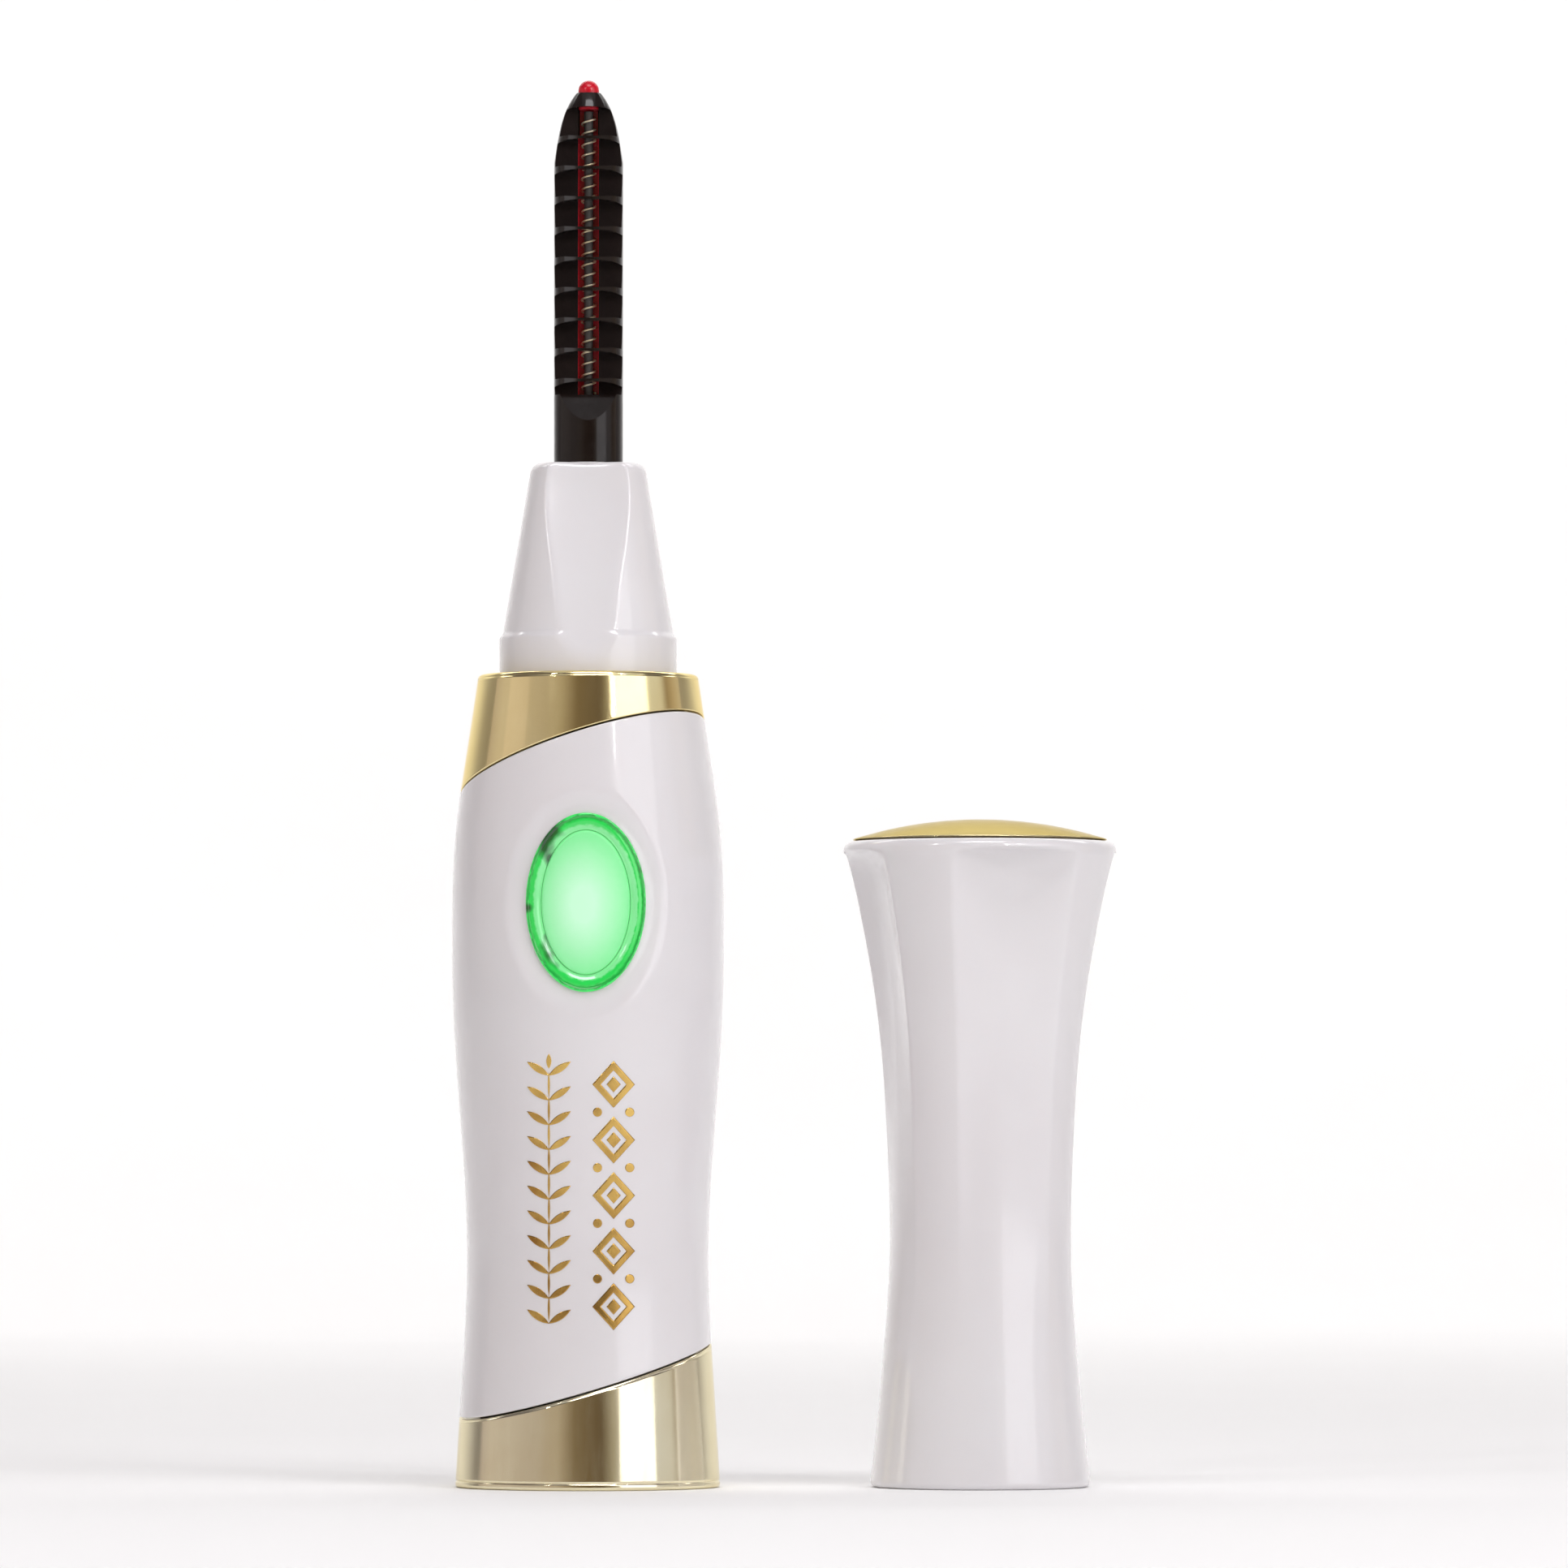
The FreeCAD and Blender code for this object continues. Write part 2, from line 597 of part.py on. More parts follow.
def cap_dome():
    rise = DOME_TOP - DOME_FOOT - DOME_EDGE
    sphere_r = (DOME_R ** 2 + rise ** 2) / (2 * rise)
    ball = Part.makeSphere(sphere_r, V(CAP_X, 0, DOME_TOP - sphere_r))
    disc = rod(DOME_R, DOME_FOOT + 0.01, DOME_TOP, CAP_X).common(ball)
    return disc.fuse(rod(DOME_PEG_R, DOME_PEG_Z, DOME_FOOT + 0.2, CAP_X)).removeSplitter()


NODES = [
    base_cover, base_insert, negative_contact, negative_spring, cell_can, cell_wrap,
    barrel_shell, collar_ring, neck_cone, button_ring, inner_frame, positive_contact,
    negative_strip, circuit_board, board_screws, switch_body, green_leds, controller_chip,
    board_resistors, comb_sleeve, heater_carrier, heater_core, heater_wire, heater_leads,
    button_pad, switch_plunger, cap_shell, cap_liner, cap_dome,
]


def main():
    os.makedirs("parts", exist_ok=True)
    for make in NODES:
        shape = make()
        name = make.__name__
        shape.exportStep("parts/" + name + ".step")
        print(name, "solids", len(shape.Solids), "valid", shape.isValid(), "volume", round(shape.Volume, 2))


main()
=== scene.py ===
import math

import bpy
import numpy as np
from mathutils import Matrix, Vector


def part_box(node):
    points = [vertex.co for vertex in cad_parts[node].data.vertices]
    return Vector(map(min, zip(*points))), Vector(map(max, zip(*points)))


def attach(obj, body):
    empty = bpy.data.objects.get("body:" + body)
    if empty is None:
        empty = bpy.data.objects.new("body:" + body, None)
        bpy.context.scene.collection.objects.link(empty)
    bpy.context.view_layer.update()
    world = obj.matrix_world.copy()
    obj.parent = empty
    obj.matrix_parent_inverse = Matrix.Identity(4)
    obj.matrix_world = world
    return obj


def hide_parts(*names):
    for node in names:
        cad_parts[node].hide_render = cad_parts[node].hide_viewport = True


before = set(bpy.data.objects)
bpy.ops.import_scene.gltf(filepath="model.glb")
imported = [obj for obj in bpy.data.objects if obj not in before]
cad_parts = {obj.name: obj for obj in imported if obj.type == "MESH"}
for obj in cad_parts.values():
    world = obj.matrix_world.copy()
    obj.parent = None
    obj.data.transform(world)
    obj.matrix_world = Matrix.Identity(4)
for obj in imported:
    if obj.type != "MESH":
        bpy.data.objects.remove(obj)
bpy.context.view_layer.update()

# Lengths are in millimetres in the row's frame, and every mesh is written in metres.
MM = 0.001


# ---- places read from the frame ----

def box_mm(node):
    """A CAD node's lowest and highest corners, in millimetres."""
    low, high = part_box(node)
    return np.array(low) / MM, np.array(high) / MM


def middle_mm(node):
    low, high = box_mm(node)
    return (low + high) / 2


BUTTON_Z = middle_mm("button_ring")[2]
RING_HALF = (box_mm("button_ring")[1] - box_mm("button_ring")[0])[[0, 2]] / 2
COLLAR_TOP = box_mm("collar_ring")[1][2]
NECK_TOP = box_mm("neck_cone")[1][2]
CAP_X = middle_mm("cap_shell")[0]
CAP_RIM_TOP = box_mm("cap_shell")[1][2]
DOME_TOP = box_mm("cap_dome")[1][2]
DOME_R = (box_mm("cap_dome")[1] - box_mm("cap_dome")[0])[0] / 2

# ---- shapes ----

# (height, radius) along the outside of the handle
HANDLE_OUTLINE = [
    (0.0, 11.69), (9.4, 11.11), (20.9, 10.65), (31.6, 11.2), (44.5, 11.97),
    (48.8, 12.0), (57.4, 11.72), (66.0, 10.54), (71.6, 9.7),
]
# Each seam is the plane z = height at the axis + slope_x * x + slope_y * y
TOP_SEAM = (64.57, 0.304, -0.19)
BOTTOM_SEAM = (9.53, 0.29, 0.093)
SEAM_GAP = 0.16
EDGE_ROUND = 0.12
SHELL_DEPTH = 1.6

DISH_HALF = (6.9, 9.8)
DISH_DEPTH = 0.42
# The dish starts a little outside its oval and slopes down over this share of it
DISH_START = 1.05
DISH_SLOPE = 0.22
# The share of the ring's oval that the well takes up
WELL_SHARE = 0.955
WELL_FLOOR_Y = -9.35
PAD_HALF = (3.87, 6.3)

CAP_OUTLINE = [
    (0.0, 9.75), (9.0, 8.8), (16.1, 8.32), (23.3, 8.2), (30.5, 8.45), (37.6, 8.9),
    (44.8, 9.8), (50.5, 10.86), (53.1, 11.42), (55.6, 12.05),
]
CAP_FLUTE_FIRST = math.radians(16)


def smooth_through(points):
    """A natural cubic spline through (position, value) points, as a function of an array."""
    p = np.array(points, float)
    x, y = p[:, 0], p[:, 1]
    h = np.diff(x)
    size = len(x)
    a = np.eye(size)
    b = np.zeros(size)
    for i in range(1, size - 1):
        a[i, i - 1:i + 2] = h[i - 1], 2 * (h[i - 1] + h[i]), h[i]
        b[i] = 6 * ((y[i + 1] - y[i]) / h[i] - (y[i] - y[i - 1]) / h[i - 1])
    m = np.linalg.solve(a, b)

    def value(t):
        t = np.clip(t, x[0], x[-1])
        i = np.clip(np.searchsorted(x, t, side="right") - 1, 0, size - 2)
        u = t - x[i]
        w = x[i + 1] - t
        cubic = (m[i] * w ** 3 + m[i + 1] * u ** 3) / (6 * h[i])
        low = (y[i] / h[i] - m[i] * h[i] / 6) * w
        high = (y[i + 1] / h[i] - m[i + 1] * h[i] / 6) * u
        return cubic + low + high

    return value


def ease(t):
    """0 to 1 with flat ends."""
    t = np.clip(t, 0, 1)
    return t * t * (3 - 2 * t)


def soft_min(a, b, width):
    """The smaller of a and b, rounded over about width where they cross."""
    h = np.clip(0.5 + 0.5 * (b - a) / width, 0, 1)
    return b + (a - b) * h - width * h * (1 - h)


handle_radius = smooth_through(HANDLE_OUTLINE)
cap_crest = smooth_through(CAP_OUTLINE)


def turn(count):
    """Angles around a circle, with 0 at the front (-Y) and growing towards +X."""
    return np.linspace(0, 2 * math.pi, count, endpoint=False)


def round_row(angles, radius, height, x=0.0, y=0.0):
    """One ring of points at radius and height, which may each vary around the ring."""
    row = np.zeros((len(angles), 3))
    row[:, 0] = x + radius * np.sin(angles)
    row[:, 1] = y - radius * np.cos(angles)
    row[:, 2] = height
    return row


def quads(first, second, count):
    """Faces between two rings of count vertices that start at the given indices."""
    faces = []
    for i in range(count):
        after = (i + 1) % count
        faces.append((first + i, first + after, second + after, second + i))
    return faces


def new_piece(name, vertices, faces, body, slot, material, replaced=()):
    """A smooth mesh piece, from millimetres, that rides a body."""
    mesh = bpy.data.meshes.new(name)
    mesh.from_pydata([tuple(v) for v in np.asarray(vertices) * MM], [], faces)
    mesh.validate()
    mesh.polygons.foreach_set("use_smooth", [True] * len(mesh.polygons))
    mesh.materials.append(material)
    obj = bpy.data.objects.new(name, mesh)
    bpy.context.scene.collection.objects.link(obj)
    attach(obj, body)
    if replaced:
        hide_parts(*replaced)
    return obj


def rings_piece(name, rows, closing, *where, **more):
    """A piece from rings of points. closing is "loop" to join the last ring to the first, or "ends"
    to close both ends on their middles."""
    count = len(rows[0])
    vertices = [p for row in rows for p in row]
    faces = []
    for i in range(len(rows) - 1):
        faces += quads(i * count, (i + 1) * count, count)
    last = (len(rows) - 1) * count
    if closing == "loop":
        faces += quads(last, 0, count)
    else:
        low, high = len(vertices), len(vertices) + 1
        vertices += [np.mean(rows[0], axis=0), np.mean(rows[-1], axis=0)]
        faces += [(low, (i + 1) % count, i) for i in range(count)]
        faces += [(high, last + i, last + (i + 1) % count) for i in range(count)]
    return new_piece(name, vertices, faces, *where, **more)


def arc_steps(radius, steps=5):
    """(inset, rise) pairs of a quarter round, from the edge's face to the side."""
    for i in range(steps + 1):
        a = math.pi / 2 * i / steps
        yield radius * (1 - math.sin(a)), radius * (1 - math.cos(a))


def seam_height(seam, angles, shift=0.0):
    """The height at which a seam's plane meets the handle's outside, at each angle."""
    height, slope_x, slope_y = seam
    z = np.full(len(angles), height)
    for _ in range(12):
        r = handle_radius(z)
        z = height + shift + slope_x * r * np.sin(angles) - slope_y * r * np.cos(angles)
    return z


def seam_at(seam, angles, radius, shift):
    """A seam plane's height at a radius, at each angle."""
    height, slope_x, slope_y = seam
    return height + shift + slope_x * radius * np.sin(angles) - slope_y * radius * np.cos(angles)


def oval_reach(x, z, half):
    """1 on an oval around the button's centre, less inside it."""
    return np.hypot(x / half[0], (z - BUTTON_Z) / half[1])


def dish(row):
    """Presses the shallow oval dish and the button's well into a ring of the barrel."""
    front = row[:, 1] < 0
    reach = oval_reach(row[:, 0], row[:, 2], DISH_HALF)
    depth = DISH_DEPTH * ease((DISH_START - reach) / DISH_SLOPE)
    radius = np.hypot(row[:, 0], row[:, 1])
    scale = np.where(front, (radius - depth) / radius, 1)
    row[:, 0] *= scale
    row[:, 1] *= scale
    well = front & (oval_reach(row[:, 0], row[:, 2], RING_HALF) < WELL_SHARE)
    row[well, 1] = np.maximum(row[well, 1], WELL_FLOOR_Y)
    return row


# ---- materials ----

def new_material(name):
    """A node material and its shader."""
    material = bpy.data.materials.new(name)
    material.use_nodes = True
    shader = material.node_tree.nodes["Principled BSDF"]
    return material, shader


def node(material, kind, **settings):
    """A new node in a material, with its properties set."""
    made = material.node_tree.nodes.new(kind)
    for key, value in settings.items():
        setattr(made, key, value)
    return made


def link(material, source, target):
    material.node_tree.links.new(source, target)


def noise(material, scale, detail=4.0, stretch=(1, 1, 1)):
    """Noise in the object's own space, at scale cycles per metre along each axis."""
    place = node(material, "ShaderNodeTexCoord")
    mapping = node(material, "ShaderNodeMapping")
    mapping.inputs["Scale"].default_value = stretch
    pattern = node(material, "ShaderNodeTexNoise")
    pattern.inputs["Scale"].default_value = scale
    pattern.inputs["Detail"].default_value = detail
    link(material, place.outputs["Object"], mapping.inputs["Vector"])
    link(material, mapping.outputs["Vector"], pattern.inputs["Vector"])
    return pattern.outputs["Fac"]


def ramp(material, source, stops):
    """A colour ramp over source, from (position, grey or colour) stops."""
    made = node(material, "ShaderNodeValToRGB")
    elements = made.color_ramp.elements
    while len(elements) < len(stops):
        elements.new(0.5)
    for element, (position, colour) in zip(elements, stops):
        element.position = position
        element.color = (*colour, 1) if isinstance(colour, tuple) else (colour, colour, colour, 1)
    link(material, source, made.inputs["Fac"])
    return made.outputs["Color"]


def vary(material, shader, socket, source, low, high):
    """Drives a shader socket between low and high by a 0 to 1 source."""
    made = node(material, "ShaderNodeMapRange")
    made.inputs["From Min"].default_value = 0.3
    made.inputs["From Max"].default_value = 0.7
    made.inputs["To Min"].default_value = low
    made.inputs["To Max"].default_value = high
    link(material, source, made.inputs["Value"])
    link(material, made.outputs["Result"], shader.inputs[socket])


def bump(material, shader, source, distance, strength=1.0):
    made = node(material, "ShaderNodeBump")
    made.inputs["Distance"].default_value = distance
    made.inputs["Strength"].default_value = strength
    link(material, source, made.inputs["Height"])
    link(material, made.outputs["Normal"], shader.inputs["Normal"])


def gloss_white(name, light, shade):
    """Glossy moulded plastic: faint tint changes, slight orange peel and tiny specks in the gloss."""
    material, shader = new_material(name)
    tint = noise(material, 45, 3)
    link(material, ramp(material, tint, [(0.35, shade), (0.65, light)]), shader.inputs["Base Color"])
    vary(material, shader, "Roughness", noise(material, 900, 6), 0.13, 0.22)
    bump(material, shader, noise(material, 380, 2), 0.00001, 0.25)
    shader.inputs["IOR"].default_value = 1.5
    shader.inputs["Subsurface Weight"].default_value = 0.08
    shader.inputs["Subsurface Radius"].default_value = (0.0016, 0.0013, 0.0012)
    shader.inputs["Subsurface Scale"].default_value = 1.0
    shader.inputs["Coat Weight"].default_value = 0.5
    shader.inputs["Coat Roughness"].default_value = 0.05
    return material


def gold(name, light, deep, rough, edge):
    """Bright plating: a warm metal with a faint hazy tint, fine wipe marks and pin-prick dust. Where deep
    is much darker than light, as on the foil, its dark patches are painted reflection. edge is its tint at
    a glancing angle."""
    material, shader = new_material(name)
    shader.inputs["Metallic"].default_value = 1.0
    shader.inputs["Specular Tint"].default_value = (*edge, 1)
    haze_and_painted_reflection = noise(material, 160, 5)
    link(material, ramp(material, haze_and_painted_reflection, [(0.3, deep), (0.7, light)]), shader.inputs["Base Color"])
    marks = noise(material, 700, 8, (1, 1, 0.12))
    vary(material, shader, "Roughness", marks, rough, rough + 0.09)
    bump(material, shader, noise(material, 2600, 3), 0.000004, 0.3)
    return material


def plain_plastic(name, light, dark, rough, grain, depth, shine=0.5):
    """Moulded plastic or rubber with a fine grain."""
    material, shader = new_material(name)
    shader.inputs["Specular IOR Level"].default_value = shine
    tint = noise(material, grain / 6, 4)
    link(material, ramp(material, tint, [(0.3, dark), (0.7, light)]), shader.inputs["Base Color"])
    vary(material, shader, "Roughness", noise(material, grain, 4), rough, rough + 0.12)
    bump(material, shader, noise(material, grain, 3), depth, 0.5)
    return material


def wire_metal(name, light, dark, rough, metallic=1.0):
    """Drawn wire and sheet metal, with fine marks along its length."""
    material, shader = new_material(name)
    shader.inputs["Metallic"].default_value = metallic
    marks = noise(material, 1500, 5, (1, 1, 0.2))
    link(material, ramp(material, marks, [(0.3, dark), (0.7, light)]), shader.inputs["Base Color"])
    vary(material, shader, "Roughness", marks, rough, rough + 0.15)
    return material


# A length so great that the fall-off doesn't change from front to back
ANY_DEPTH = 1e6
# How much fine noise breaks up the fall-off of a lit piece
SPECK_SHARE = 0.06


def glow(name, stops, strength, rough, half, centre=(0, 0), clear=0.0, patches=0.0):
    """Lit plastic: the colour falls off from the light behind it. patches is how much of it goes dark
    where the light does not reach."""
    material, shader = new_material(name)
    place = node(material, "ShaderNodeTexCoord")
    shift = node(material, "ShaderNodeMapping", vector_type="TEXTURE")
    shift.inputs["Location"].default_value = (centre[0] * MM, 0, (BUTTON_Z + centre[1]) * MM)
    shift.inputs["Scale"].default_value = (half[0] * MM, ANY_DEPTH, half[1] * MM)
    ball = node(material, "ShaderNodeTexGradient", gradient_type="SPHERICAL")
    link(material, place.outputs["Object"], shift.inputs["Vector"])
    link(material, shift.outputs["Vector"], ball.inputs["Vector"])
    speck = noise(material, 1800, 5)
    mixed = node(material, "ShaderNodeMath", operation="MULTIPLY_ADD")
    link(material, speck, mixed.inputs[0])
    mixed.inputs[1].default_value = SPECK_SHARE
    link(material, ball.outputs["Fac"], mixed.inputs[2])
    colour = ramp(material, mixed.outputs[0], stops)
    if patches:
        unlit = ramp(material, noise(material, 330, 1.5), [(0.34, 1 - patches), (0.41, 1.0)])
        product = node(material, "ShaderNodeMix", data_type="RGBA", blend_type="MULTIPLY")
        product.inputs["Factor"].default_value = 1.0
        link(material, colour, product.inputs["A"])
        link(material, unlit, product.inputs["B"])
        colour = product.outputs["Result"]
    link(material, colour, shader.inputs["Base Color"])
    link(material, colour, shader.inputs["Emission Color"])
    shader.inputs["Emission Strength"].default_value = strength
    vary(material, shader, "Roughness", noise(material, 1200, 4), rough, rough + 0.1)
    shader.inputs["Coat Weight"].default_value = clear
    shader.inputs["Coat Roughness"].default_value = 0.03
    return material


WHITE = gloss_white("white_gloss_plastic", (0.80, 0.785, 0.805), (0.77, 0.745, 0.765))
WHITE_INNER = plain_plastic(
    "white_inner_plastic", (0.78, 0.77, 0.77), (0.72, 0.71, 0.71), 0.4, 2400, 0.000008,
)
GOLD = gold("gold_plating", (0.98, 0.86, 0.49), (0.92, 0.78, 0.41), 0.07, (0.95, 0.86, 0.62))
DOME_GOLD = gold("dome_plating", (0.73, 0.65, 0.40), (0.68, 0.59, 0.34), 0.14, (0.72, 0.62, 0.34))
PALE_GOLD = gold("pale_gold_plating", (0.90, 0.84, 0.62), (0.84, 0.76, 0.54), 0.08, (0.9, 0.86, 0.74))
# The foil's deep brown patches are painted reflection, scattered at random over it.
FOIL = gold("gold_foil", (0.95, 0.66, 0.20), (0.34, 0.17, 0.04), 0.22, (0.9, 0.8, 0.5))
COMB_BLACK = plain_plastic(
    "comb_black_plastic", (0.013, 0.008, 0.007), (0.006, 0.0035, 0.003), 0.1, 1100, 0.000002, 0.36,
)
RED = plain_plastic("red_silicone_rubber", (0.74, 0.008, 0.035), (0.50, 0.004, 0.014), 0.16, 1200, 0.000003)
CORE = plain_plastic("heater_core_ceramic", (0.10, 0.09, 0.085), (0.06, 0.055, 0.05), 0.5, 3000, 0.00001)
COIL = wire_metal("coil_wire_metal", (1.0, 0.90, 0.68), (0.95, 0.78, 0.48), 0.3, 0.6)
STEEL = wire_metal("nickel_plated_steel", (0.70, 0.69, 0.67), (0.52, 0.51, 0.50), 0.22)
BRASS = wire_metal("contact_brass", (0.85, 0.68, 0.38), (0.66, 0.50, 0.25), 0.22)
BLACK = plain_plastic("black_moulding", (0.035, 0.035, 0.035), (0.02, 0.02, 0.02), 0.4, 2600, 0.000006)
BOARD = plain_plastic("lacquered_board", (0.03, 0.20, 0.08), (0.02, 0.13, 0.05), 0.3, 1800, 0.000005)
WRAP = plain_plastic("cell_sleeve", (0.09, 0.10, 0.12), (0.06, 0.07, 0.08), 0.25, 900, 0.000004)
LEAD = plain_plastic("lead_insulation", (0.05, 0.05, 0.05), (0.03, 0.03, 0.03), 0.45, 2000, 0.000005)
GLOW_STRENGTH = 0.28
PAD_GLOW = glow(
    "frosted_green_lit",
    [(0.0, (0.12, 0.66, 0.20)), (0.35, (0.21, 0.75, 0.30)), (0.85, (0.50, 0.86, 0.59))],
    GLOW_STRENGTH, 0.4, (5.6, 8.6), (-0.2, -0.2), 0.1,
)
# Across the ring the stops paint highlight bands and a thin dark line of painted shade, on top of the
# glow's fall-off.
RING_GLOW = glow(
    "clear_green_lit",
    [
        (0.10, (0.01, 0.55, 0.07)), (0.19, (0.03, 0.70, 0.11)), (0.205, (0.008, 0.30, 0.04)),
        (0.225, (0.01, 0.40, 0.05)), (0.245, (0.02, 0.60, 0.08)), (0.28, (0.02, 0.58, 0.08)),
        (0.305, (0.20, 0.72, 0.28)), (0.42, (0.20, 0.72, 0.28)),
    ],
    GLOW_STRENGTH, 0.05, (6.2, 9.2), (0, 0), 0.8, 0.85,
)


# ---- handle ----

AROUND = 384
# How far the barrel's bore stands in from its ends' inner edges, and its greatest radius
BORE_INSET = 0.3
BORE_MAX_R = 9.0


def barrel():
    """The white barrel between the two slanted seams, with the dish around the button."""
    angles = turn(AROUND)
    low = seam_height(BOTTOM_SEAM, angles, SEAM_GAP / 2)
    high = seam_height(TOP_SEAM, angles, -SEAM_GAP / 2)
    rows = []
    inner_low = handle_radius(low) - SHELL_DEPTH
    rows.append(round_row(angles, inner_low, seam_at(BOTTOM_SEAM, angles, inner_low, SEAM_GAP / 2)))
    for inset, rise in arc_steps(EDGE_ROUND):
        rows.append(round_row(angles, handle_radius(low + rise) - inset, low + rise))
    for t in np.linspace(0, 1, 250)[1:-1]:
        z = low + EDGE_ROUND + (high - low - 2 * EDGE_ROUND) * t
        rows.append(dish(round_row(angles, handle_radius(z), z)))
    for inset, rise in reversed(list(arc_steps(EDGE_ROUND))):
        rows.append(round_row(angles, handle_radius(high - rise) - inset, high - rise))
    inner_high = handle_radius(high) - SHELL_DEPTH
    rows.append(round_row(angles, inner_high, seam_at(TOP_SEAM, angles, inner_high, -SEAM_GAP / 2)))
    bore = min(inner_low.min() - BORE_INSET, inner_high.min() - BORE_INSET, BORE_MAX_R)
    for t in np.linspace(1, 0, 5):
        z = low + (high - low) * t
        rows.append(round_row(angles, bore, z))
    return rings_piece("barrel", rows, "loop", "handle", "white_gloss", WHITE, replaced=["barrel_shell"])


COLLAR_EDGE = 0.4
COLLAR_BEVEL = 0.12
COLLAR_MOUTH_R = 7.92
COLLAR_MOUTH_DEPTH = 1.6


def collar():
    """The gold collar above the top seam."""
    angles = turn(AROUND)
    low = seam_height(TOP_SEAM, angles, SEAM_GAP / 2)
    rows = []
    inner = handle_radius(low) - SHELL_DEPTH
    rows.append(round_row(angles, inner, seam_at(TOP_SEAM, angles, inner, SEAM_GAP / 2)))
    for inset, rise in arc_steps(COLLAR_BEVEL):
        rows.append(round_row(angles, handle_radius(low + rise) - inset, low + rise))
    top = COLLAR_TOP - COLLAR_EDGE
    for t in np.linspace(0, 1, 60)[1:]:
        z = low + COLLAR_BEVEL + (top - low - COLLAR_BEVEL) * t
        rows.append(round_row(angles, handle_radius(z), z))
    side = handle_radius(np.array(top))
    for inset, rise in reversed(list(arc_steps(COLLAR_EDGE, 7))):
        rows.append(round_row(angles, side - inset, COLLAR_TOP - rise))
    rows.append(round_row(angles, COLLAR_MOUTH_R + COLLAR_BEVEL, COLLAR_TOP))
    rows.append(round_row(angles, COLLAR_MOUTH_R, COLLAR_TOP - COLLAR_BEVEL))
    rows.append(round_row(angles, COLLAR_MOUTH_R, COLLAR_TOP - COLLAR_MOUTH_DEPTH))
    return rings_piece("collar", rows, "loop", "handle", "gold_trim", GOLD, replaced=["collar_ring"])


FOOT_EDGE = 0.3
FOOT_GROOVE_Z = 0.62
FOOT_GROOVE_DEPTH = 0.09
FOOT_GROOVE_WIDTH = 0.07
BASE_BEVEL = 0.16
BASE_WALL = 1.15
# (radius, height) of the flat underside, and of the inside's floor
BASE_UNDER = [(4.0, 0.0), (11.0, 0.0)]
BASE_FLOOR = (9.95, 1.4)


def base():
    """The pale gold base cover, with a fine groove around its foot."""
    angles = turn(AROUND)
    high = seam_height(BOTTOM_SEAM, angles, -SEAM_GAP / 2)
    rows = [round_row(angles, r, z) for r, z in BASE_UNDER]
    for inset, rise in arc_steps(FOOT_EDGE, 6):
        rows.append(round_row(angles, handle_radius(np.array(FOOT_EDGE)) - inset, rise))
    for t in np.linspace(0, 1, 80)[1:] ** 2:
        z = FOOT_EDGE + (high - BASE_BEVEL - FOOT_EDGE) * t
        groove = FOOT_GROOVE_DEPTH * np.exp(-((z - FOOT_GROOVE_Z) / FOOT_GROOVE_WIDTH) ** 2)
        rows.append(round_row(angles, handle_radius(z) - groove, z))
    for inset, rise in reversed(list(arc_steps(BASE_BEVEL))):
        rows.append(round_row(angles, handle_radius(high - rise) - inset, high - rise))
    inner = handle_radius(high) - BASE_WALL
    rows.append(round_row(angles, inner, seam_at(BOTTOM_SEAM, angles, inner, -SEAM_GAP / 2)))
    rows.append(round_row(angles, *BASE_FLOOR))
    return rings_piece("base", rows, "ends", "base", "gold_trim", PALE_GOLD, replaced=["base_cover"])


NECK_R = 7.85
BAND_TOP = 74.7
CONE_FOOT_Z = 75.4
CONE_FOOT_R = 7.5
CONE_TOP_R = 5.0
NECK_ROUND = 0.8
SCOOP_HOLLOW = 16.0
SCOOP_EDGE = 0.3
# (height, distance from the axis) down the middle of the scoops in the neck's front and back
SCOOP_LINE = [
    (71.6, 8.3), (73.0, 7.82), (74.0, 7.5), (75.0, 7.18), (76.1, 6.85), (78.9, 6.15),
    (83.6, 4.72), (88.3, 3.5), (91.0, 3.34),
]
# How far the neck goes down inside the collar, and in from its band there
NECK_SUNK = 0.9
NECK_STEP_IN = 0.3
NECK_TOP_INSET = 0.8
# (radius, height) down the inside of the neck, from the comb's hole to the collar
NECK_INSIDE = [
    (3.3, NECK_TOP), (3.13, NECK_TOP - 0.15), (3.12, NECK_TOP - 3), (3.4, 84.0), (5.2, 76.0),
    (5.2, COLLAR_TOP - NECK_SUNK),
]
scoop_near = smooth_through(SCOOP_LINE)


def neck_side(z):
    """The neck's radius before its scoops are cut."""
    band = NECK_R - (NECK_R - CONE_FOOT_R) * ease((z - BAND_TOP) / (CONE_FOOT_Z - BAND_TOP))
    cone = CONE_FOOT_R + (CONE_TOP_R - CONE_FOOT_R) * (z - CONE_FOOT_Z) / (NECK_TOP - CONE_FOOT_Z)
    return np.where(z < CONE_FOOT_Z, band, cone)


def with_scoops(angles, radius, z):
    """radius, cut back by the two round-bottomed scoops."""
    centre = float(scoop_near(np.array(z))) + SCOOP_HOLLOW
    for back in (0, math.pi):
        off = (angles - back + math.pi) % (2 * math.pi) - math.pi
        across = SCOOP_HOLLOW ** 2 - (centre * np.sin(off)) ** 2
        hit = (np.cos(off) > 0) & (across > 0)
        wall = centre * np.cos(off) - np.sqrt(np.where(hit, across, 1))
        radius = np.where(hit, soft_min(radius, wall, SCOOP_EDGE), radius)
    return radius


